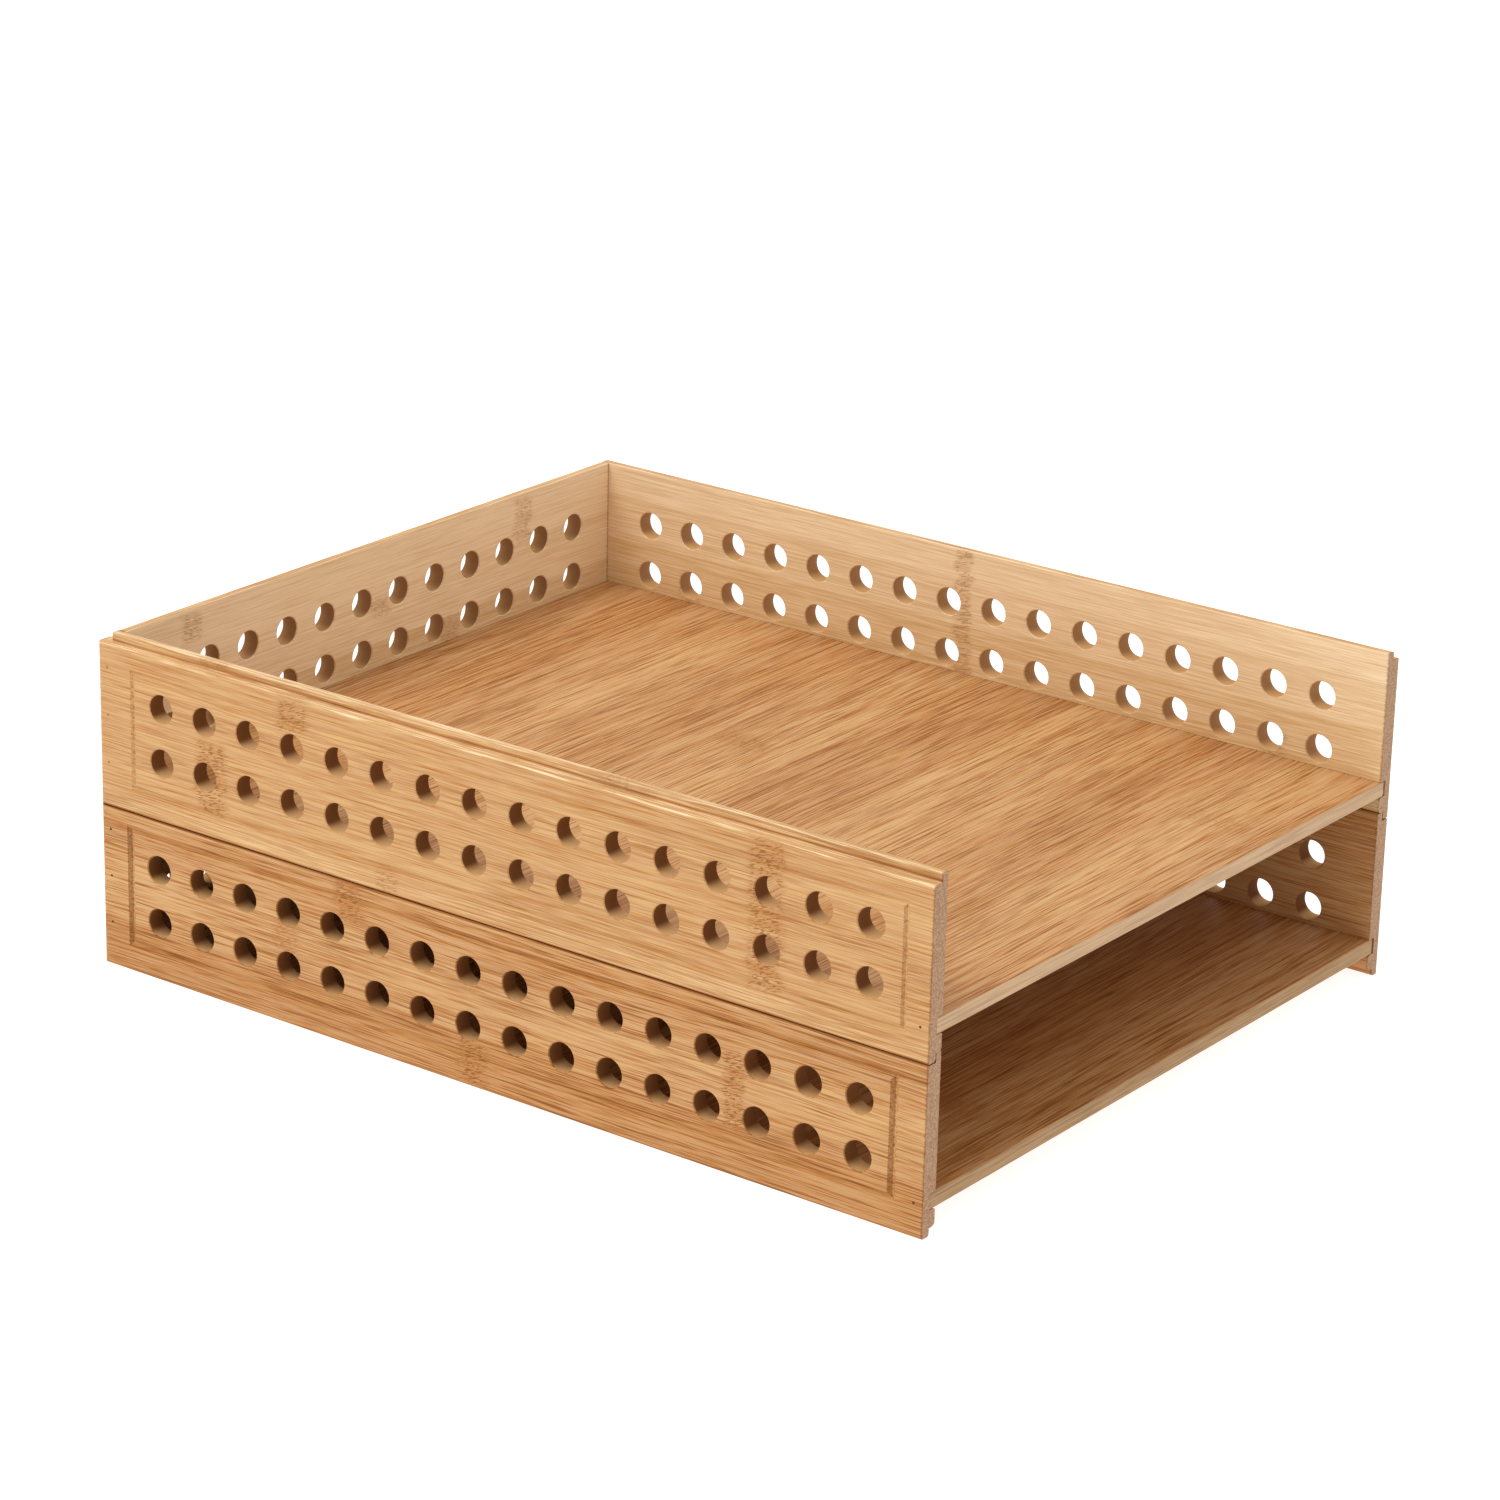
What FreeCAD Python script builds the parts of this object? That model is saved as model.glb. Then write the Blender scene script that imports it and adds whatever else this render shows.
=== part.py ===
import FreeCAD, Part
import math
import os
from collections import namedtuple

# Two equal open-front letter trays of bamboo board, one stacked on the other.
# Millimetres, +Z up, origin under the middle of the stack, open front towards -Y.

# Overall size of one tray
outer_width = 257.0
outer_depth = 321.4
tray_height = 54.0
wall_thickness = 6.4

# Stacking tongue on top of each wall, and the skirt that goes round the tongue of the tray below.
# A tray rests on the tongue, which leaves a fine seam between skirt and ledge.
tongue_height = 2.9
ledge_width = 3.7
stack_clearance = 0.4
seam_gap = 0.4

# Lip that carries the floor on the inside of each wall
lip_height = 5.6
lip_lower_round = 1.9
lip_upper_round = 1.4

# Floor board
floor_thickness = 5.2
floor_groove_clearance = 0.1
floor_end_clearance = 0.1
floor_play = 1.2
floor_front_round = 0.5

# Eased edges of the walls
ledge_round = 0.7
tongue_round = 0.4
skirt_outer_round = 0.3
skirt_inner_round = 1.0
front_edge_round = 0.5
back_corner_round = 2.4

# Round holes, in rows inside the frame groove
hole_diameter = 9.5
hole_rim_chamfer = 0.3
side_hole_pitch = 18.18
back_hole_pitch = 18.6
hole_row_pitch = 18.04
hole_frame_margin = 9.4
back_hole_rise = 0.3

# Frame groove routed into the outer face of each wall with a pointed cutter; angle in degrees
groove_angle = 115.0
groove_floor_width = 0.2
groove_end_margin = 12.3
groove_top_margin = 6.5
groove_bottom_margin = 9.3

# Where the trays differ: how far back a side's holes and groove lie, and how high and deep the groove is
lower_left_shift = -1.0
lower_right_shift = -1.0
lower_groove_rise = 0.5
lower_groove_depth = 0.9
upper_left_shift = -3.0
upper_right_shift = -1.0
upper_groove_rise = -0.9
upper_groove_depth = 0.6

# Brads through the sides
brad_shank_diameter = 0.65
brad_head_diameter = 0.8
brad_head_height = 0.4
brad_length = 16.0
brad_point_length = 1.0
brad_sink = 0.3
brad_hole_clearance = 0.05
corner_brad_count = 3
corner_brad_floor_gap = 1.3
corner_brad_top_margin = 7.6
corner_brad_back_margin = 4.6
floor_brad_front_margin = 3.4

# How far cutting shapes run past the surface that they cut
overrun = 1.0

# Sizes that follow from the ones above
skirt_thickness = ledge_width - stack_clearance
rabbet_height = tongue_height - seam_gap
groove_bottom_height = rabbet_height + lip_height
groove_top_height = groove_bottom_height + floor_thickness + floor_groove_clearance
floor_top_height = groove_bottom_height + floor_thickness
inner_width = outer_width - 2 * wall_thickness
stack_pitch = tray_height + seam_gap

# What is cut into the walls of each tray
tray_cuts = {
    "lower": (lower_left_shift, lower_right_shift, lower_groove_rise, lower_groove_depth),
    "upper": (upper_left_shift, upper_right_shift, upper_groove_rise, upper_groove_depth),
}

# Groove and holes of one wall board
Cuts = namedtuple("Cuts", "length end_margin shift groove_rise groove_depth hole_pitch hole_rise")


def vector(x, y, z):
    return FreeCAD.Vector(x, y, z)


def rounded_outline(corners):
    """Closed wire in the XZ plane through (x, z, radius) corners, each rounded by its radius."""
    starts = []
    ends = []
    middles = []
    count = len(corners)
    for index, (x, z, radius) in enumerate(corners):
        corner = vector(x, 0, z)
        before = vector(corners[index - 1][0], 0, corners[index - 1][1])
        after = vector(corners[(index + 1) % count][0], 0, corners[(index + 1) % count][1])
        towards_before = (before - corner).normalize()
        towards_after = (after - corner).normalize()
        half_angle = towards_before.getAngle(towards_after) / 2
        reach = radius / math.tan(half_angle)
        starts.append(corner + towards_before * reach)
        ends.append(corner + towards_after * reach)
        bisector = (towards_before + towards_after).normalize()
        middles.append(corner + bisector * (radius / math.sin(half_angle) - radius))
    edges = []
    for index, (x, z, radius) in enumerate(corners):
        if radius > 0:
            edges.append(Part.Arc(starts[index], middles[index], ends[index]).toShape())
        run = starts[(index + 1) % count] - ends[index]
        if run.Length > FreeCAD.Base.Precision.confusion():
            edges.append(Part.LineSegment(ends[index], starts[(index + 1) % count]).toShape())
    return Part.Wire(edges)


def prism(corners, start, end):
    """Rounded outline in the XZ plane, extruded along Y from start to end."""
    face = Part.Face(rounded_outline(corners))
    face.translate(vector(0, start, 0))
    return face.extrude(vector(0, end - start, 0))


def centred_places(span, pitch, margin):
    """Places along a span, a pitch apart, centred and at least a margin from its ends."""
    count = int((span - 2 * margin) / pitch) + 1
    first = (span - (count - 1) * pitch) / 2
    return [first + index * pitch for index in range(count)]


# One wall board, drawn with its outer face at X = 0, inwards to +X and its length along +Y

def wall_blank(length, tongue_end, channel_end):
    """Board with ledge and tongue on top, and with the rabbet, lip and floor groove inside."""
    body = prism([
        (0, 0, skirt_outer_round),
        (wall_thickness, 0, 0),
        (wall_thickness, tray_height, 0),
        (0, tray_height, ledge_round),
    ], 0, length)
    tongue = prism([
        (ledge_width, tray_height, 0),
        (wall_thickness, tray_height, 0),
        (wall_thickness, tray_height + tongue_height, tongue_round),
        (ledge_width, tray_height + tongue_height, tongue_round),
    ], 0, tongue_end)
    channel = prism([
        (skirt_thickness - skirt_inner_round, -overrun, 0),
        (skirt_thickness - skirt_inner_round, 0, 0),
        (skirt_thickness, 0, skirt_inner_round),
        (skirt_thickness, rabbet_height, 0),
        (wall_thickness, rabbet_height, lip_lower_round),
        (wall_thickness, groove_bottom_height, lip_upper_round),
        (skirt_thickness, groove_bottom_height, 0),
        (skirt_thickness, groove_top_height, 0),
        (wall_thickness + overrun, groove_top_height, 0),
        (wall_thickness + overrun, -overrun, 0),
    ], -overrun, channel_end)
    return body.fuse(tongue).removeSplitter().cut(channel)


def frame_rectangle(cuts, depth, offset):
    """Rectangle at a depth in the board, as much larger than the frame's middle line as the offset."""
    low_y = cuts.end_margin + cuts.shift - offset
    high_y = cuts.length - cuts.end_margin + cuts.shift + offset
    low_z = groove_bottom_margin + cuts.groove_rise - offset
    high_z = tray_height - groove_top_margin + cuts.groove_rise + offset
    return Part.makePolygon([
        vector(depth, low_y, low_z),
        vector(depth, high_y, low_z),
        vector(depth, high_y, high_z),
        vector(depth, low_y, high_z),
        vector(depth, low_y, low_z),
    ])


def frame_groove(cuts):
    """Cutting shape of the mitred groove that frames the holes."""
    floor_half = groove_floor_width / 2
    mouth_half = floor_half + (cuts.groove_depth + overrun) * math.tan(math.radians(groove_angle / 2))
    outside = Part.makeLoft([
        frame_rectangle(cuts, -overrun, mouth_half),
        frame_rectangle(cuts, cuts.groove_depth, floor_half),
    ], True, True)
    island = Part.makeLoft([
        frame_rectangle(cuts, -overrun, -mouth_half),
        frame_rectangle(cuts, cuts.groove_depth, -floor_half),
    ], True, True)
    return outside.cut(island)


def turned(profile, y, z):
    """Solid turned about a line along X through (y, z), from (x, radius) points that start and end on it."""
    points = [vector(x, radius, 0) for x, radius in profile]
    face = Part.Face(Part.makePolygon(points + points[:1]))
    solid = face.revolve(vector(0, 0, 0), vector(1, 0, 0), 360)
    solid.translate(vector(0, y, z))
    return solid


def hole_cutter(y, z):
    """Round hole through a wall, with both rims eased."""
    radius = hole_diameter / 2
    mouth = radius + hole_rim_chamfer + overrun
    return turned([
        (-overrun, 0),
        (-overrun, mouth),
        (hole_rim_chamfer, radius),
        (wall_thickness - hole_rim_chamfer, radius),
        (wall_thickness + overrun, mouth),
        (wall_thickness + overrun, 0),
    ], y, z)


def perforate(board, cuts):
    """Cut the groove, and the rows of holes inside it."""
    frame_length = cuts.length - 2 * cuts.end_margin
    frame_height = tray_height - groove_top_margin - groove_bottom_margin
    start = cuts.end_margin + cuts.shift
    bottom = groove_bottom_margin + cuts.hole_rise
    cutters = [frame_groove(cuts)]
    for along in centred_places(frame_length, cuts.hole_pitch, hole_frame_margin):
        for up in centred_places(frame_height, hole_row_pitch, hole_frame_margin):
            cutters.append(hole_cutter(start + along, bottom + up))
    return board.cut(cutters)


def corner_rounder(x, y, inward_x, inward_y, radius):
    """Cutting shape that rounds an upright edge at (x, y), with the board on the inward side."""
    height = tray_height + tongue_height + 2 * overrun
    size = radius + overrun
    block = Part.makeBox(size, size, height, vector(-overrun, -overrun, -overrun))
    post = Part.makeCylinder(radius, height, vector(radius, radius, -overrun))
    cutter = block.cut(post)
    if inward_x < 0:
        cutter = cutter.mirror(vector(0, 0, 0), vector(1, 0, 0))
    if inward_y < 0:
        cutter = cutter.mirror(vector(0, 0, 0), vector(0, 1, 0))
    cutter.translate(vector(x, y, 0))
    return cutter


def side_board(shift, groove_rise, groove_depth):
    """Left side in its own frame, from the front end at Y = 0 to the back."""
    board = wall_blank(outer_depth, outer_depth - ledge_width, outer_depth - skirt_thickness)
    cuts = Cuts(outer_depth, groove_end_margin, shift, groove_rise, groove_depth, side_hole_pitch, 0)
    return perforate(board, cuts).cut([
        corner_rounder(0, 0, 1, 1, front_edge_round),
        corner_rounder(wall_thickness, 0, -1, 1, front_edge_round),
        corner_rounder(0, outer_depth, 1, -1, back_corner_round),
    ])


def back_board(groove_rise, groove_depth):
    """Back panel in its own frame, as long as the gap between the sides."""
    board = wall_blank(inner_width, inner_width, inner_width + overrun)
    end_margin = groove_end_margin - wall_thickness
    cuts = Cuts(inner_width, end_margin, 0, groove_rise, groove_depth, back_hole_pitch, back_hole_rise)
    return perforate(board, cuts)


def floor_board():
    """Floor from the open front into the grooves, pushed against the left groove."""
    left = skirt_thickness + floor_end_clearance
    right = outer_width - skirt_thickness - floor_play
    back = outer_depth - skirt_thickness - floor_end_clearance
    board = prism([
        (0, groove_bottom_height, floor_front_round),
        (back, groove_bottom_height, 0),
        (back, floor_top_height, 0),
        (0, floor_top_height, floor_front_round),
    ], left, right)
    board.rotate(vector(0, 0, 0), vector(0, 0, 1), 90)
    return board.mirror(vector(0, 0, 0), vector(1, 0, 0))


def brad(y, z):
    """Brad driven inwards from the outer face of a side, its head just below the surface."""
    shank = brad_shank_diameter / 2
    head = brad_head_diameter / 2
    end = brad_sink + brad_length
    return turned([
        (brad_sink, 0),
        (brad_sink, head),
        (brad_sink + brad_head_height, head),
        (brad_sink + brad_head_height, shank),
        (end - brad_point_length, shank),
        (end, 0),
    ], y, z)


def brad_hole(y, z):
    """Hole that a brad makes for itself, open at the outer face."""
    shank = brad_shank_diameter / 2 + brad_hole_clearance
    head = brad_head_diameter / 2 + brad_hole_clearance
    end = brad_sink + brad_length + brad_hole_clearance
    return turned([
        (-overrun, 0),
        (-overrun, head),
        (brad_sink + brad_head_height, head),
        (brad_sink + brad_head_height, shank),
        (end - brad_point_length, shank),
        (end, 0),
    ], y, z)


def corner_brad_places():
    """Places of the brads that hold the back panel, from the floor up."""
    low = floor_top_height + corner_brad_floor_gap
    high = tray_height - corner_brad_top_margin
    step = (high - low) / (corner_brad_count - 1)
    y = outer_depth - corner_brad_back_margin
    return [(y, low + index * step) for index in range(corner_brad_count)]


def floor_brad_places():
    """Place of the brad that holds the floor's front corner."""
    return [(floor_brad_front_margin, groove_bottom_height + floor_thickness / 2)]


# Placing the pieces of one tray

def at_left(shape):
    """Move a piece from the left side's own frame into the tray."""
    placed = shape.copy()
    placed.translate(vector(-outer_width / 2, -outer_depth / 2, 0))
    return placed


def at_right(shape):
    """Mirror a piece from the left side to the right side."""
    return at_left(shape).mirror(vector(0, 0, 0), vector(1, 0, 0))


def at_back(shape):
    """Turn a piece from the back panel's own frame into the tray."""
    placed = shape.copy()
    placed.rotate(vector(0, 0, 0), vector(0, 0, 1), -90)
    placed.translate(vector(-inner_width / 2, outer_depth / 2, 0))
    return placed


def tray_pieces(left_shift, right_shift, groove_rise, groove_depth):
    """All pieces of one tray that stands on Z = 0, by name."""
    corner_holes = [brad_hole(y, z) for y, z in corner_brad_places()]
    floor_holes = [brad_hole(y, z) for y, z in floor_brad_places()]
    left_side = side_board(left_shift, groove_rise, groove_depth).cut(corner_holes + floor_holes)
    right_side = side_board(right_shift, groove_rise, groove_depth).cut(corner_holes + floor_holes)
    back_holes = [at_left(hole) for hole in corner_holes] + [at_right(hole) for hole in corner_holes]
    front_holes = [at_left(hole) for hole in floor_holes] + [at_right(hole) for hole in floor_holes]
    corner_brads = Part.makeCompound([brad(y, z) for y, z in corner_brad_places()])
    floor_brads = Part.makeCompound([brad(y, z) for y, z in floor_brad_places()])
    return {
        "left_side": at_left(left_side),
        "right_side": at_right(right_side),
        "back_panel": at_back(back_board(groove_rise, groove_depth)).cut(back_holes),
        "floor_panel": at_left(floor_board()).cut(front_holes),
        "left_corner_brads": at_left(corner_brads),
        "right_corner_brads": at_right(corner_brads),
        "left_floor_brad": at_left(floor_brads),
        "right_floor_brad": at_right(floor_brads),
    }


def main():
    os.makedirs("parts", exist_ok=True)
    for level, (tray, cuts) in enumerate(tray_cuts.items()):
        for name, shape in tray_pieces(*cuts).items():
            shape.translate(vector(0, 0, level * stack_pitch))
            node = tray + "_" + name
            shape.exportStep(os.path.join("parts", node + ".step"))
            print(node, "solids", len(shape.Solids), "valid", shape.isValid(), "volume", round(shape.Volume))


main()
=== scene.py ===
import math

import bpy
from mathutils import Matrix, Vector


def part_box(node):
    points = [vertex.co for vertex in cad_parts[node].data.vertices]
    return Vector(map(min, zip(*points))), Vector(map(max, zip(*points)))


# Two stacked bamboo letter trays in a white studio. Metres, open front towards -Y.

MM = 0.001

# Camera at the photograph's viewing angle
CAMERA_PLACE = Vector((-1.17446, -0.86771, 0.60939))
CAMERA_FORWARD = Vector((0.75544, 0.55771, -0.34391))
CAMERA_RIGHT = Vector((0.60067, -0.79915, 0.02350))
CAMERA_LENS_MM = 117.42
CAMERA_SENSOR_MM = 36.0
CAMERA_NEAR = 0.05
CAMERA_FAR = 50.0

# Bamboo colours, linear, with the tone at which each lies on the way from dark to pale wood
WOOD_TONES = [
    (0.00, (0.262, 0.092, 0.020, 1.0)),
    (0.30, (0.455, 0.190, 0.052, 1.0)),
    (0.46, (0.515, 0.252, 0.086, 1.0)),
    (0.62, (0.550, 0.305, 0.138, 1.0)),
    (0.80, (0.632, 0.382, 0.158, 1.0)),
    (1.00, (0.925, 0.722, 0.468, 1.0)),
]
LINE_BROWN = (0.290, 0.105, 0.027, 1.0)
KNUCKLE_STAIN = (0.450, 0.185, 0.050, 1.0)
KNUCKLE_BROWN = (0.260, 0.085, 0.012, 1.0)
# Dark brown of scorch and painted shade in the holes and the groove, also used for the dark band at the sawn
# ends.
BURN_AND_SHADE_BROWN = (0.150, 0.045, 0.007, 1.0)
RAW_WOOD = (0.680, 0.390, 0.165, 1.0)
END_GRAIN_PALE = (0.458, 0.278, 0.160, 1.0)
END_GRAIN_DARK = (0.322, 0.172, 0.088, 1.0)
STEEL_DARK = (0.060, 0.030, 0.014, 1.0)
STEEL_PALE = (0.170, 0.100, 0.055, 1.0)
# Filler over the hidden brad heads, made paler as painted light that cancels the shade in their sunk holes.
FILLER_DARK = (0.560, 0.300, 0.115, 1.0)
FILLER_PALE = (0.680, 0.400, 0.175, 1.0)

# Fibres: how often they repeat per metre along, across and through a board, and how far they move the tone
FIBRES = [
    ((60.0, 2800.0, 2800.0), 1.35),
    ((26.0, 1400.0, 1400.0), 1.28),
    ((6.0, 320.0, 320.0), 0.30),
    ((2.5, 70.0, 70.0), 0.20),
]
FIBRE_CEILING = 0.16
FIBRE_CEILING_SOFT = 0.12
BEND_SCALES = (7.0, 16.0, 16.0)
BEND_REACH = 2.5 * MM
STRIP_SEAM = 0.25 * MM

# Noise: its detail, roughness and middle value, and the seeds that keep one noise from repeating another
FINE_DETAIL = 2.0
PLAIN_DETAIL = 1.0
NOISE_ROUGHNESS = 0.6
NOISE_MIDDLE = 0.5
BOARD_SEED_STEP = 10.0
LINE_SEED = 4.0
LINE_PATCH_SEED = 5.0
WOBBLE_SEED = 6.0
KNUCKLE_SEED = 7.0
SPECKLE_SEED = 8.0
FRAY_SEED = 9.0

# Thin dark lines along the fibres, in patches. A range is where a look begins and where it is full.
LINE_SCALES = [(9.0, 420.0, 420.0), (14.0, 900.0, 900.0)]
LINE_RANGE = (0.035, 0.0)
LINE_SHARE = 0.40
LINE_PATCH_SCALES = (9.0, 70.0, 70.0)
LINE_PATCH_RANGE = (0.40, 0.62)

# Knuckles of the cane: wavy stained bands with short slanted dashes
WOBBLE_SCALES = (0.0, 240.0, 240.0)
WOBBLE_REACH = 9.0 * MM
KNUCKLE_CORE_SHARE = 0.45
KNUCKLE_SOFT_END = 2.0 * MM
STAIN_SCALES = (30.0, 500.0, 500.0)
STAIN_RANGE = (0.30, 0.62)
STAIN_SHARE = 0.60
DASH_SCALES = (440.0, 2100.0, 2100.0)
DASH_RANGE = (0.53, 0.59)
DASH_SHARE = 0.85
DASH_SLANT = 0.25
DASH_DEPTH = 0.3

# Sawn ends, and the uneven dark band beside them
SPECKLE_SCALES = (900.0, 1700.0, 1700.0)
SPECKLE_RANGE = (0.60, 0.40)
END_RANGE = (2.0 * MM, 1.0 * MM)
FRAY_SCALES = (16.0, 900.0, 900.0)
FRAY_REACH = 1.0 * MM
END_BAND_RANGE = (1.3 * MM, 0.6 * MM)
END_BAND_SHARE = 0.6

# Routed and drilled stretch of a wall: how far it stays from the board's ends, its lowest and highest place,
# how dark its cuts are from scorch and painted shade, and how far from the board's middle the groove has its
# near and far shares
CUT_END_MARGINS = {"side": 7.4 * MM, "back_panel": 3.5 * MM}
CUT_LOW = 6.8 * MM
CUT_HIGH = 50.1 * MM
CUT_SOFT = 0.5 * MM
BURN_AND_SHADE_SHARE = 0.35
CROSSCUT_BURN_AND_SHADE_SHARE = 0.60
GROOVE_HALF_LENGTH = 0.15

# Ranges of one part of a face's normal: through the board, along it, or across it
OUTER_FACING = (-0.8, -0.2)
HOLE_FACING = (0.40, 0.10)
SLOPE_FACING = (0.40, 0.60)
CUT_FACING = (0.96, 0.88)
CROSSCUT_FACING = (0.0, 0.80)
FLANK_FACING = (-0.15, -0.60)
END_FACING = (0.60, 0.90)
HOLE_FLOOR_FACING = (0.55, 1.08)
EDGE_FACING = (0.50, 0.90)

# Satin varnish over the relief of the fibres, missing in the cuts
GLOSS = 0.18
ROUGHNESS = 0.46
FIBRE_ROUGHNESS = 0.18
CUT_ROUGHNESS = 0.40
RELIEF_STRENGTH = 0.25
RELIEF_DEPTH = 0.1 * MM

# Strips of the floors, in mm, and how strong the colour of a floor's front edge is
FLOOR_STRIP_WIDTH = 20
FLOOR_STRIP_COUNT = 17
FLOOR_TONE_SWING = 0.10
EDGE_SHARE = 0.5


def floor_strips(first_end, tone, turn):
    """Equal strips of a floor, with tones that swing round one tone."""
    strips = []
    for index in range(FLOOR_STRIP_COUNT):
        end = first_end + FLOOR_STRIP_WIDTH * index
        strips.append((end, tone + FLOOR_TONE_SWING * math.sin(turn * index)))
    return strips


# Looks of each board. A strip is (where it ends across the board in mm, tone). Grain is how strong the
# fibres show. The dark strips at a wall's bottom edge, at the lower tray's ledge in the seam, just under the
# lower left groove's top line and at a tongue's foot are painted shade, and a pale strip on an eased ledge
# edge is a painted highlight. Outer is (change of tone, grain) of a wall with a paler inner face, on its
# other faces; that paler, fainter-grained inner face is painted light. Groove is how dark the frame groove's
# flank that faces -along is at its near and far end, from scorch and painted shade. Hole burn and shade is
# how dark the holes are from scorch and painted shade, and the share of it kept on their floors; leaving it
# off the floors, which face up, is painted light. A knuckle of the cane is (place along the board, lowest and
# highest place across it, half width, all in mm, and strength). Across is up on a wall and back on a floor;
# along is back on a side and right on a back panel or a floor. Edge is the colour of a floor's front edge.
BOARDS = {
    "lower_left_side": {
        # Painted shade in the dark strips at the bottom edge, just under the groove's top line and at the
        # ledge in the seam; the pale strip under that ledge is a painted highlight on its eased edge.
        "strips": [(0.6, 0.20), (9.5, 0.41), (16.5, 0.36), (28.0, 0.56), (38.5, 0.61), (47.6, 0.49),
                   (49.8, 0.31), (51.0, 0.48), (52.8, 0.41), (53.5, 0.60), (54.3, 0.05), (57.0, 0.42)],
        "grain": 1.4,
        "groove": (0.45, 0.50),
        "hole_burn_and_shade": (1.0, 0.0),
        "knuckles": [(56, 41, 54, 7, 0.9), (82, 23, 35, 7, 0.5), (6, 1, 16, 7, 1.0), (-92.5, 15, 39, 5, 1.0)],
    },
    "upper_left_side": {
        # Painted shade in the dark strips at the bottom edge in the seam and at the tongue's foot; the pale
        # strip on the ledge's eased edge is a painted highlight.
        "strips": [(0.45, 0.12), (6.0, 0.68), (18.0, 0.63), (30.0, 0.62), (34.0, 0.60), (47.0, 0.65),
                   (53.3, 0.60), (54.25, 0.80), (54.8, 0.36), (56.4, 0.72), (57.0, 0.76)],
        "grain": 1.0,
        "groove": (0.22, 0.05),
        "hole_burn_and_shade": (1.0, 0.0),
        "knuckles": [(78.5, 43, 53, 8, 0.8), (112.5, 8, 31, 8, 0.9), (-102.5, 7, 53, 8, 0.9),
                     (40, 0, 7, 6, 0.5), (113, 54, 57, 8, 0.5), (-45, 54, 57, 8, 0.5)],
    },
    "lower_right_side": {
        # Painted shade in the dark strips at the bottom edge and at the ledge in the seam.
        "strips": [(0.6, 0.22), (14.0, 0.42), (33.0, 0.52), (53.8, 0.46), (54.3, 0.22), (57.0, 0.42)],
        "grain": 1.2,
        "groove": (0.45, 0.50),
        "hole_burn_and_shade": (1.0, 0.0),
        "knuckles": [(-60, 4, 30, 7, 0.7), (48, 22, 54, 7, 0.6), (121, 2, 26, 7, 0.6)],
    },
    "upper_right_side": {
        # Painted shade in the dark strip at the bottom edge in the seam; the pale tones and faint grain are
        # painted light on the inner face.
        "strips": [(0.2, 0.25), (16.0, 0.83), (30.0, 0.86), (46.0, 0.91), (57.0, 0.95)],
        "grain": 0.20,
        "outer": (-0.27, 1.0),
        "groove": (0.22, 0.05),
        "hole_burn_and_shade": (0.55, 0.0),
        "knuckles": [(2, 12, 57, 4.5, 0.5), (118, 4, 24, 6, 0.4), (-120, 2, 22, 6, 0.5)],
    },
    "lower_back_panel": {
        # Painted shade in the dark strips at the bottom edge and at the ledge in the seam.
        "strips": [(0.6, 0.22), (20.0, 0.48), (42.0, 0.54), (53.8, 0.46), (54.3, 0.22), (57.0, 0.42)],
        "grain": 1.2,
        "groove": (0.45, 0.50),
        "hole_burn_and_shade": (1.0, 0.0),
        "knuckles": [(-50, 6, 34, 7, 0.7), (63, 26, 56, 7, 0.6)],
    },
    "upper_back_panel": {
        # Painted shade in the dark strip at the bottom edge in the seam; the pale tones and faint grain are
        # painted light on the inner face.
        "strips": [(0.2, 0.25), (22.0, 0.87), (40.0, 0.94), (57.0, 0.97)],
        "grain": 0.20,
        "outer": (-0.30, 1.0),
        "groove": (0.22, 0.05),
        "hole_burn_and_shade": (0.78, 1.0),
        "knuckles": [(-92, 46, 55, 6, 0.5), (0, 31, 37, 6, 0.5), (74.5, 40, 55, 6, 0.4), (36, 4, 22, 6, 0.4)],
    },
    "lower_floor_panel": {
        "strips": floor_strips(-150, 0.44, 2.3),
        "grain": 1.6,
        "knuckles": [(-70, -140, -118, 7, 0.5), (40, -96, -76, 7, 0.6), (-20, 20, 42, 7, 0.6),
                     (84, 84, 104, 7, 0.6)],
        "edge": (0.318, 0.242, 0.138, 1.0),
    },
    "upper_floor_panel": {
        "strips": floor_strips(-146, 0.50, 1.7),
        "grain": 1.6,
        "knuckles": [(58, -150, -128, 7, 0.4), (-36, -84, -62, 7, 0.6), (20, 6, 28, 7, 0.6),
                     (-80, 92, 116, 7, 0.6)],
        "edge": (0.601, 0.458, 0.298, 1.0),
    },
}

# Which axes run along, across and through each kind of board
BOARD_AXES = {"side": (1, 2, 0), "back_panel": (0, 2, 1), "floor_panel": (0, 1, 2)}
UP_AXIS = 2

# Brads: their grime and finish, and which ones have heads that are hidden by filler
GRIME_SCALE = 2500.0
GRIME_DETAIL = 3.0
BRAD_ROUGHNESS = 0.55
BARE_METALLIC = 0.6
FILLED_BRADS = ("upper_left_corner_brads", "upper_right_corner_brads")

# Studio. A light is (place, size, watts, colour).
WHITE = (1.0, 1.0, 1.0, 1.0)
TABLE_HALF = 8.0
TABLE_GREY = (0.40, 0.40, 0.40, 1.0)
TABLE_GLOW = 0.85
TABLE_ROUGHNESS = 0.9
WORLD_GLOW = 0.85
LIGHT_TARGET = (0.0, 0.0, 0.05)
LIGHTS = {
    "key": ((-1.2, 0.8, 2.0), 1.2, 20.5, (1.0, 0.99, 0.97)),
    "top": ((0.1, 0.3, 2.2), 1.6, 9.1, (1.0, 1.0, 1.0)),
}


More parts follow.
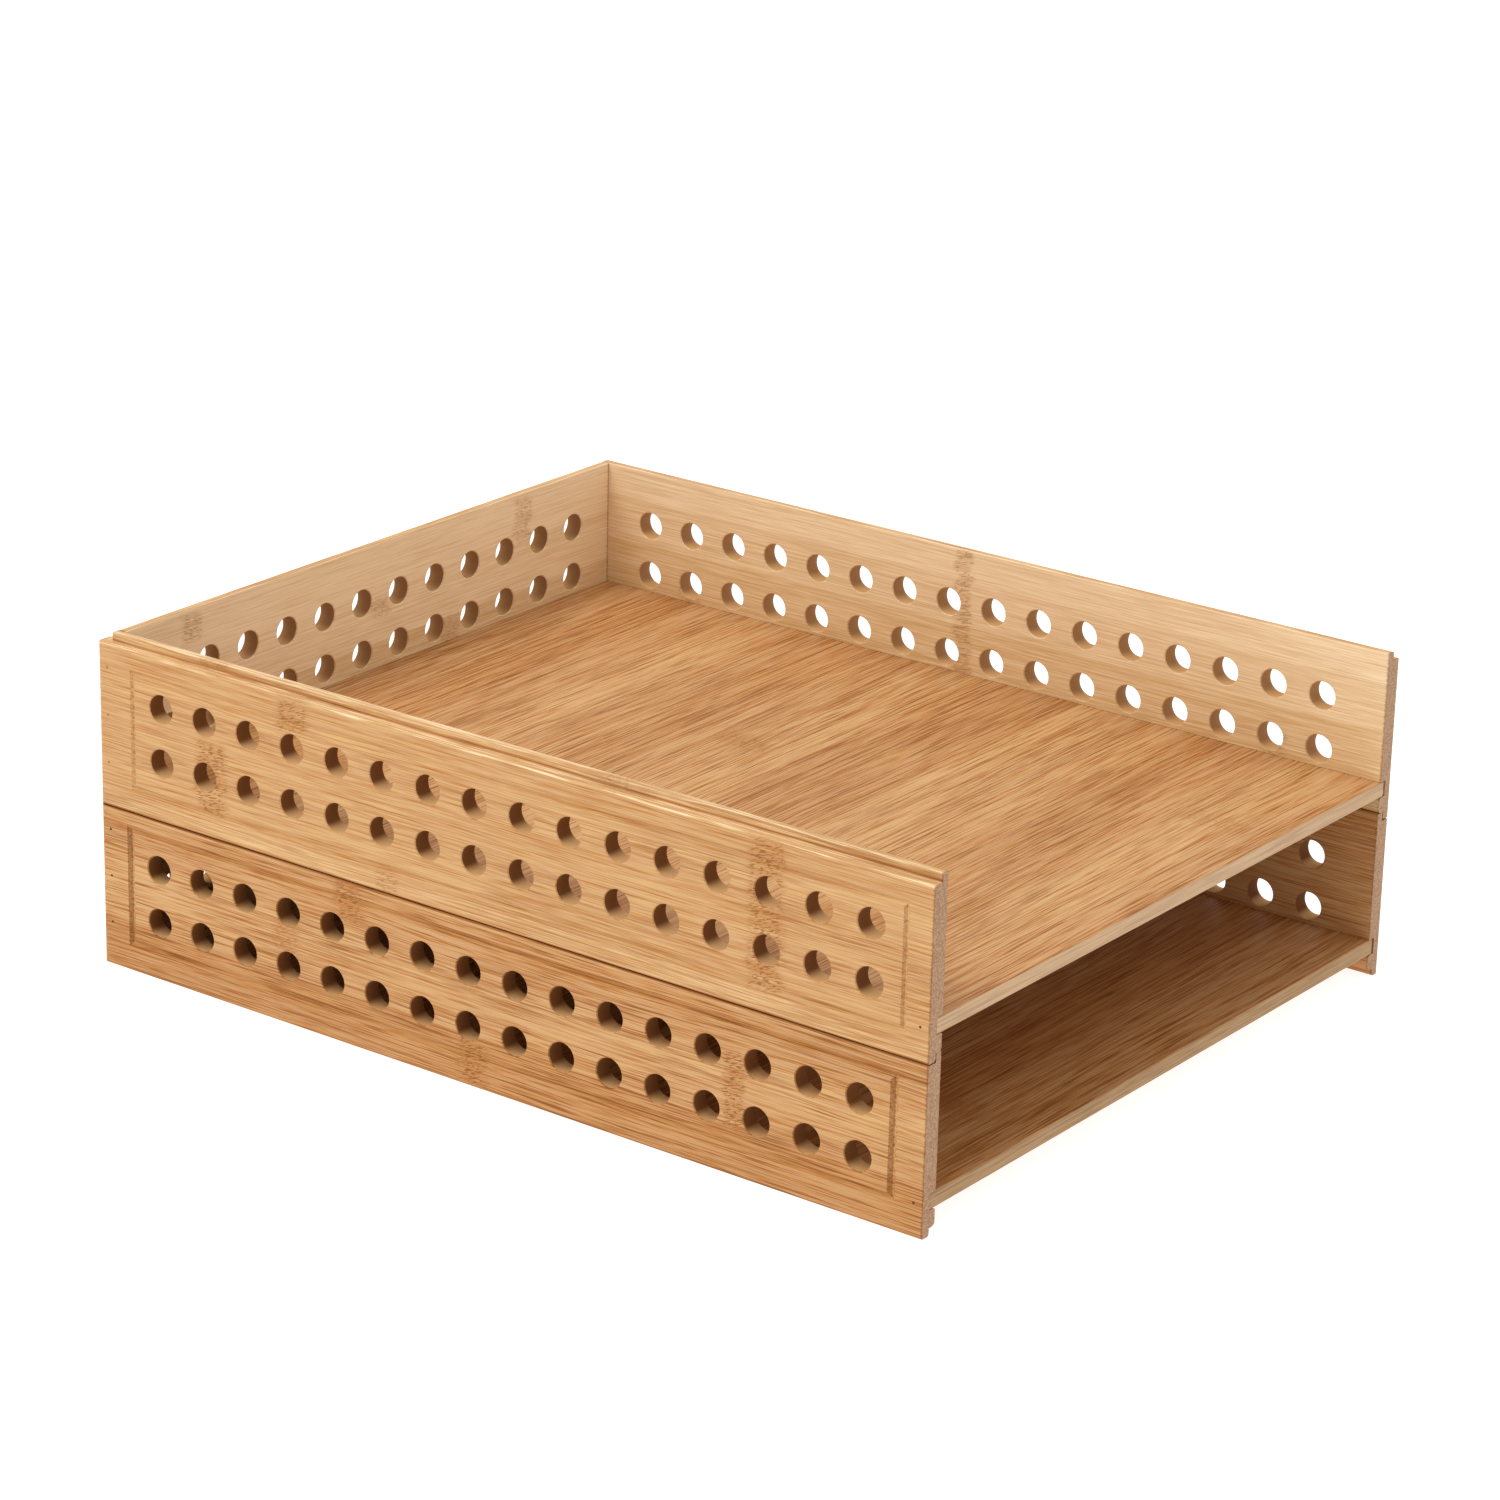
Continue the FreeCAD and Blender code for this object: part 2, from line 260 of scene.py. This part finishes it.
class Shader:
    """Short ways to add and link the nodes of one material."""

    def __init__(self, name):
        self.material = bpy.data.materials.new(name)
        self.material.use_nodes = True
        self.tree = self.material.node_tree
        self.surface = self.tree.nodes["Principled BSDF"]
        self.coordinates = self.add("ShaderNodeTexCoord", {})

    def add(self, kind, inputs, **settings):
        """New node with its settings, each input set to a value or linked to a socket."""
        node = self.tree.nodes.new(kind)
        for name, value in settings.items():
            setattr(node, name, value)
        for name, value in inputs.items():
            if isinstance(value, bpy.types.NodeSocket):
                self.tree.links.new(value, node.inputs[name])
            else:
                node.inputs[name].default_value = value
        return node

    def link(self, socket, name):
        """Link a socket to an input of the surface."""
        self.tree.links.new(socket, self.surface.inputs[name])

    def math(self, operation, *values, clamp=False):
        """Result of an operation on values and sockets."""
        inputs = dict(enumerate(values))
        return self.add("ShaderNodeMath", inputs, operation=operation, use_clamp=clamp).outputs[0]

    def step(self, value, low, high):
        """0 up to low and 1 from high on, or falling when low is the larger."""
        inputs = {"Value": value, "From Min": low, "From Max": high}
        return self.add("ShaderNodeMapRange", inputs, interpolation_type="SMOOTHSTEP").outputs["Result"]

    def mix(self, share, first, second):
        """First colour with that share of the second in it."""
        inputs = {"Factor": share, 6: first, 7: second}
        return self.add("ShaderNodeMix", inputs, data_type="RGBA").outputs[2]

    def noise(self, place, scales, detail, seed):
        """Noise that repeats that often per metre along, across and through the board."""
        inputs = {0: place, 1: scales, 2: (seed, seed, seed)}
        scaled = self.add("ShaderNodeVectorMath", inputs, operation="MULTIPLY_ADD")
        inputs = {"Vector": scaled.outputs[0], "Scale": 1.0, "Detail": detail, "Roughness": NOISE_ROUGHNESS}
        return self.add("ShaderNodeTexNoise", inputs).outputs["Fac"]

    def swing(self, place, scales, detail, seed):
        """The same noise, swinging round zero."""
        return self.math("SUBTRACT", self.noise(place, scales, detail, seed), NOISE_MIDDLE)


class Board:
    """Places on one board, in metres along, across and through it, and the way its surface faces."""

    def __init__(self, shader, axes, base, half_length, seed):
        place = shader.add("ShaderNodeSeparateXYZ", {0: shader.coordinates.outputs["Object"]})
        normal = shader.add("ShaderNodeSeparateXYZ", {0: shader.coordinates.outputs["Normal"]})
        self.seed = seed
        self.along = place.outputs[axes[0]]
        self.across = shader.math("SUBTRACT", place.outputs[axes[1]], base)
        self.through = place.outputs[axes[2]]
        straight = shader.add("ShaderNodeCombineXYZ", {0: self.along, 1: self.across, 2: self.through})
        self.straight = straight.outputs[0]
        bend = shader.swing(self.straight, BEND_SCALES, PLAIN_DETAIL, seed)
        bent = shader.math("MULTIPLY_ADD", bend, BEND_REACH, self.across)
        waved = shader.add("ShaderNodeCombineXYZ", {0: self.along, 1: bent, 2: self.through})
        self.waved = waved.outputs[0]
        self.from_end = shader.math("SUBTRACT", half_length, shader.math("ABSOLUTE", self.along))
        self.facing_end = normal.outputs[axes[0]]
        self.facing_up = normal.outputs[axes[1]]
        self.facing_through = normal.outputs[axes[2]]
        self.facing = [shader.math("ABSOLUTE", normal.outputs[axis]) for axis in axes]


def strip_tone(shader, board, strips):
    """Tone that steps from strip to strip across the board."""
    tone = strips[0][1]
    for (end, this), (_, following) in zip(strips, strips[1:]):
        past = shader.step(board.across, end * MM - STRIP_SEAM, end * MM + STRIP_SEAM)
        tone = shader.math("MULTIPLY_ADD", past, following - this, tone)
    return tone


def wood_tone(shader, board, looks):
    """Tone of the glued strips with fibres of several widths, which can differ off a wall's inner face, whose
    paler tone and fainter fibres are painted light.
    """
    tone = strip_tone(shader, board, looks["strips"])
    grain = looks["grain"]
    # The inner face keeps the paler strips, painted light; the other faces are taken back to the wood's own
    # tone and grain.
    if "outer" in looks:
        outer_change, outer_grain = looks["outer"]
        outside = shader.step(board.facing_through, *OUTER_FACING)
        tone = shader.math("MULTIPLY_ADD", outside, outer_change, tone)
        grain = shader.math("MULTIPLY_ADD", outside, outer_grain - grain, grain)
    fibres = 0.0
    for index, (scales, share) in enumerate(FIBRES):
        fibre = shader.swing(board.waved, scales, FINE_DETAIL, board.seed + index)
        fibres = shader.math("MULTIPLY_ADD", fibre, share, fibres)
    ceiling = shader.math("ADD", tone, FIBRE_CEILING)
    tone = shader.math("MULTIPLY_ADD", fibres, grain, tone)
    return shader.math("SMOOTH_MIN", tone, ceiling, FIBRE_CEILING_SOFT)


def wood_colour(shader, board, looks):
    """Colour for the tone of the wood, with thin dark lines along the fibres."""
    ramp = shader.add("ShaderNodeValToRGB", {0: wood_tone(shader, board, looks)})
    elements = ramp.color_ramp.elements
    for _ in WOOD_TONES[2:]:
        elements.new(1.0)
    for element, (position, colour) in zip(elements, WOOD_TONES):
        element.position = position
        element.color = colour
    patch = shader.noise(board.waved, LINE_PATCH_SCALES, PLAIN_DETAIL, board.seed + LINE_PATCH_SEED)
    patch = shader.step(patch, *LINE_PATCH_RANGE)
    colour = ramp.outputs["Color"]
    for scales in LINE_SCALES:
        crossing = shader.swing(board.waved, scales, FINE_DETAIL, board.seed + LINE_SEED)
        line = shader.step(shader.math("ABSOLUTE", crossing), *LINE_RANGE)
        share = shader.math("MULTIPLY", shader.math("MULTIPLY", line, patch), LINE_SHARE * looks["grain"])
        colour = shader.mix(share, colour, LINE_BROWN)
    return colour


def knuckle_mask(shader, board, marks):
    """Soft bands across the fibres, one for each knuckle."""
    wobble = shader.swing(board.straight, WOBBLE_SCALES, FINE_DETAIL, board.seed + WOBBLE_SEED)
    moved = shader.math("MULTIPLY_ADD", wobble, WOBBLE_REACH, board.along)
    total = 0.0
    for place, low, high, half_width, strength in marks:
        off = shader.math("ABSOLUTE", shader.math("SUBTRACT", moved, place * MM))
        band = shader.step(off, half_width * MM, KNUCKLE_CORE_SHARE * half_width * MM)
        above = shader.step(board.across, low * MM - KNUCKLE_SOFT_END, low * MM + KNUCKLE_SOFT_END)
        below = shader.step(board.across, high * MM + KNUCKLE_SOFT_END, high * MM - KNUCKLE_SOFT_END)
        patch = shader.math("MULTIPLY", shader.math("MULTIPLY", band, above), below)
        total = shader.math("MULTIPLY_ADD", patch, strength, total)
    return total


def add_knuckles(shader, board, colour, marks):
    """Stain the wood at the knuckles and strew short dark dashes there. Gives the colour and the dashes."""
    knuckles = knuckle_mask(shader, board, marks)
    smear = shader.noise(board.waved, STAIN_SCALES, FINE_DETAIL, board.seed + KNUCKLE_SEED)
    smear = shader.step(smear, *STAIN_RANGE)
    stain = shader.math("MULTIPLY", shader.math("MULTIPLY", knuckles, smear), STAIN_SHARE, clamp=True)
    colour = shader.mix(stain, colour, KNUCKLE_STAIN)
    slanted = shader.math("MULTIPLY_ADD", board.along, DASH_SLANT, board.across)
    place = shader.add("ShaderNodeCombineXYZ", {0: board.along, 1: slanted, 2: board.through}).outputs[0]
    dash = shader.noise(place, DASH_SCALES, PLAIN_DETAIL, board.seed + KNUCKLE_SEED)
    dashes = shader.math("MULTIPLY", shader.step(dash, *DASH_RANGE), knuckles, clamp=True)
    return shader.mix(shader.math("MULTIPLY", dashes, DASH_SHARE), colour, KNUCKLE_BROWN), dashes


def add_end_grain(shader, board, colour):
    """Sawn ends of the board, pale and speckled."""
    speckle = shader.noise(board.straight, SPECKLE_SCALES, FINE_DETAIL, board.seed + SPECKLE_SEED)
    end_colour = shader.mix(shader.step(speckle, *SPECKLE_RANGE), END_GRAIN_DARK, END_GRAIN_PALE)
    at_end = shader.step(board.from_end, *END_RANGE)
    share = shader.math("MULTIPLY", shader.step(board.facing[0], *END_FACING), at_end)
    return shader.mix(share, colour, end_colour)


def cut_stretch(shader, board, end_margin):
    """1 on the stretch of a wall that is drilled and routed."""
    inside = shader.step(board.from_end, end_margin, end_margin + CUT_SOFT)
    above = shader.step(board.across, CUT_LOW, CUT_LOW + CUT_SOFT)
    below = shader.step(board.across, CUT_HIGH, CUT_HIGH - CUT_SOFT)
    return shader.math("MULTIPLY", shader.math("MULTIPLY", inside, above), below)


def add_holes(shader, board, colour, stretch, hole_burn_and_shade):
    """Raw wood in the holes, darkened by scorch and painted shade, most where they cut across the fibres and
    less on their floors, where the lighter look is painted light.
    """
    strength, floor_share = hole_burn_and_shade
    in_hole = shader.math("MULTIPLY", shader.step(board.facing[2], *HOLE_FACING), stretch)
    colour = shader.mix(in_hole, colour, RAW_WOOD)
    crosscut = shader.step(board.facing[0], *CROSSCUT_FACING)
    shares = CROSSCUT_BURN_AND_SHADE_SHARE * strength, BURN_AND_SHADE_SHARE * strength
    burn_and_shade = shader.math("MULTIPLY_ADD", crosscut, *shares)
    # Hole floors face up to the light, and leaving the darkening off them is painted light.
    on_floor = shader.step(board.facing_up, *HOLE_FLOOR_FACING)
    kept = shader.math("MULTIPLY_ADD", on_floor, floor_share - 1.0, 1.0)
    burn_and_shade = shader.math("MULTIPLY", burn_and_shade, kept)
    return shader.mix(shader.math("MULTIPLY", burn_and_shade, in_hole), colour, BURN_AND_SHADE_BROWN)


def add_groove(shader, board, colour, stretch, shares):
    """Darken the flank of the frame groove that faces -along, by its shares at the near and the far end:
    scorched cut wood and painted shade.
    """
    flank = shader.step(board.facing_end, *FLANK_FACING)
    on_slope = shader.step(board.facing[2], *SLOPE_FACING)
    inputs = {
        "Value": board.along,
        "From Min": -GROOVE_HALF_LENGTH,
        "From Max": GROOVE_HALF_LENGTH,
        "To Min": shares[0],
        "To Max": shares[1],
    }
    share = shader.add("ShaderNodeMapRange", inputs).outputs["Result"]
    darkened = shader.math("MULTIPLY", shader.math("MULTIPLY", flank, on_slope), share)
    return shader.mix(shader.math("MULTIPLY", darkened, stretch), colour, BURN_AND_SHADE_BROWN)


def fray_ends(shader, board, colour):
    """Uneven dark edge where the board was sawn off."""
    fray = shader.noise(board.straight, FRAY_SCALES, FINE_DETAIL, board.seed + FRAY_SEED)
    frayed = shader.math("MULTIPLY_ADD", fray, FRAY_REACH, board.from_end)
    end_band = shader.step(frayed, *END_BAND_RANGE)
    return shader.mix(shader.math("MULTIPLY", end_band, END_BAND_SHARE), colour, BURN_AND_SHADE_BROWN)


def roughen_cuts(shader, board, rough, stretch):
    """Bare, rougher wood in the holes and the groove."""
    cut_face = shader.math("MULTIPLY", shader.step(board.facing[2], *CUT_FACING), stretch)
    return shader.math("MULTIPLY_ADD", cut_face, CUT_ROUGHNESS, rough)


def add_front_edge(shader, board, colour, edge):
    """Paler sawn front edge of a floor, through which the fibres show."""
    share = shader.math("MULTIPLY", shader.step(board.facing[1], *EDGE_FACING), EDGE_SHARE)
    return shader.mix(share, colour, edge)


def bamboo(name, axes, base, half_length, looks, end_margin, seed):
    """Satin bamboo board with its grain, knuckles, cut faces and end grain."""
    shader = Shader(name)
    board = Board(shader, axes, base, half_length, seed)
    colour = wood_colour(shader, board, looks)
    colour, dashes = add_knuckles(shader, board, colour, looks["knuckles"])
    finest_scales = FIBRES[0][0]
    fibre = shader.noise(board.waved, finest_scales, FINE_DETAIL, board.seed)
    rough = shader.math("MULTIPLY_ADD", fibre, FIBRE_ROUGHNESS, ROUGHNESS)
    if "edge" in looks:
        colour = add_front_edge(shader, board, colour, looks["edge"])
    else:
        stretch = cut_stretch(shader, board, end_margin)
        colour = add_groove(shader, board, colour, stretch, looks["groove"])
        colour = add_holes(shader, board, colour, stretch, looks["hole_burn_and_shade"])
        colour = fray_ends(shader, board, colour)
        rough = roughen_cuts(shader, board, rough, stretch)
    colour = add_end_grain(shader, board, colour)
    shader.link(colour, "Base Color")
    shader.link(rough, "Roughness")
    shader.surface.inputs["Specular IOR Level"].default_value = GLOSS
    relief = shader.math("MULTIPLY_ADD", dashes, -DASH_DEPTH, fibre)
    inputs = {"Strength": RELIEF_STRENGTH, "Distance": RELIEF_DEPTH, "Height": relief}
    bump = shader.add("ShaderNodeBump", inputs)
    shader.link(bump.outputs["Normal"], "Normal")
    return shader.material


def brad_steel(name, dark, pale, metallic):
    """Dull steel of the brads, darkened by the dust and varnish over them or hidden by filler."""
    shader = Shader(name)
    place = shader.coordinates.outputs["Object"]
    inputs = {"Vector": place, "Scale": GRIME_SCALE, "Detail": GRIME_DETAIL}
    grime = shader.add("ShaderNodeTexNoise", inputs).outputs["Fac"]
    shader.link(shader.mix(grime, dark, pale), "Base Color")
    shader.surface.inputs["Metallic"].default_value = metallic
    shader.surface.inputs["Roughness"].default_value = BRAD_ROUGHNESS
    return shader.material


def board_bamboo(name, seed):
    """Bamboo of one board, laid out along, across and through it."""
    kind = next(kind for kind in BOARD_AXES if name.endswith(kind))
    axes = BOARD_AXES[kind]
    low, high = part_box(name)
    base = low[UP_AXIS] if axes[1] == UP_AXIS else 0.0
    half_length = high[axes[0]]
    end_margin = CUT_END_MARGINS.get(kind)
    return bamboo(name + "_bamboo", axes, base, half_length, BOARDS[name], end_margin, seed)


def dress(nodes):
    """Give every CAD node its material."""
    bare = brad_steel("brad_steel", STEEL_DARK, STEEL_PALE, BARE_METALLIC)
    filled = brad_steel("brad_steel_filled", FILLER_DARK, FILLER_PALE, 0.0)
    for index, name in enumerate(sorted(nodes)):
        material = filled if name in FILLED_BRADS else bare
        if name in BOARDS:
            material = board_bamboo(name, BOARD_SEED_STEP * index)
        nodes[name].data.materials.clear()
        nodes[name].data.materials.append(material)


def area_light(name, place, target, size, watts, colour):
    """Square soft light, turned to its target."""
    data = bpy.data.lights.new(name, "AREA")
    data.shape = "SQUARE"
    data.size = size
    data.energy = watts
    data.color = colour
    light = bpy.data.objects.new(name, data)
    light.location = place
    light.rotation_euler = (Vector(target) - Vector(place)).to_track_quat("-Z", "Y").to_euler()
    bpy.context.collection.objects.link(light)


def studio():
    """Glowing white table, white surroundings and large soft lights."""
    half = TABLE_HALF
    mesh = bpy.data.meshes.new("studio_floor")
    corners = [(-half, -half, 0), (half, -half, 0), (half, half, 0), (-half, half, 0)]
    mesh.from_pydata(corners, [], [(0, 1, 2, 3)])
    floor = bpy.data.objects.new("studio_floor", mesh)
    bpy.context.collection.objects.link(floor)
    shader = Shader("studio_white")
    shader.surface.inputs["Base Color"].default_value = TABLE_GREY
    shader.surface.inputs["Emission Color"].default_value = WHITE
    shader.surface.inputs["Emission Strength"].default_value = TABLE_GLOW
    shader.surface.inputs["Roughness"].default_value = TABLE_ROUGHNESS
    shader.surface.inputs["Specular IOR Level"].default_value = 0.0
    mesh.materials.append(shader.material)
    world = bpy.data.worlds.new("studio_world")
    world.use_nodes = True
    world.node_tree.nodes["Background"].inputs["Color"].default_value = WHITE
    world.node_tree.nodes["Background"].inputs["Strength"].default_value = WORLD_GLOW
    bpy.context.scene.world = world
    for name, (place, size, watts, colour) in LIGHTS.items():
        area_light(name, place, LIGHT_TARGET, size, watts, colour)


def camera():
    """Camera at the photograph's place, upright to its own right and forward directions."""
    data = bpy.data.cameras.new("camera")
    data.lens = CAMERA_LENS_MM
    data.sensor_width = CAMERA_SENSOR_MM
    data.clip_start = CAMERA_NEAR
    data.clip_end = CAMERA_FAR
    item = bpy.data.objects.new("camera", data)
    forward = CAMERA_FORWARD.normalized()
    right = (CAMERA_RIGHT - forward * CAMERA_RIGHT.dot(forward)).normalized()
    up = right.cross(forward)
    turn = Matrix((right, up, -forward)).transposed().to_4x4()
    item.matrix_world = Matrix.Translation(CAMERA_PLACE) @ turn
    bpy.context.collection.objects.link(item)
    bpy.context.scene.camera = item


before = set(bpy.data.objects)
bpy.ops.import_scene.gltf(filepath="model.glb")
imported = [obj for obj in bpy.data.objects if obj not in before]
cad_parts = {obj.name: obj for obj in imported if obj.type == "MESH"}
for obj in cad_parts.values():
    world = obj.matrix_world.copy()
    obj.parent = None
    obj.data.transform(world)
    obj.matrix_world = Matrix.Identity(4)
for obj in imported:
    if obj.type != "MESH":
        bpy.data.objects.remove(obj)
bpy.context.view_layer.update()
dress(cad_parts)
studio()
camera()
bpy.context.scene.view_settings.view_transform = "Standard"
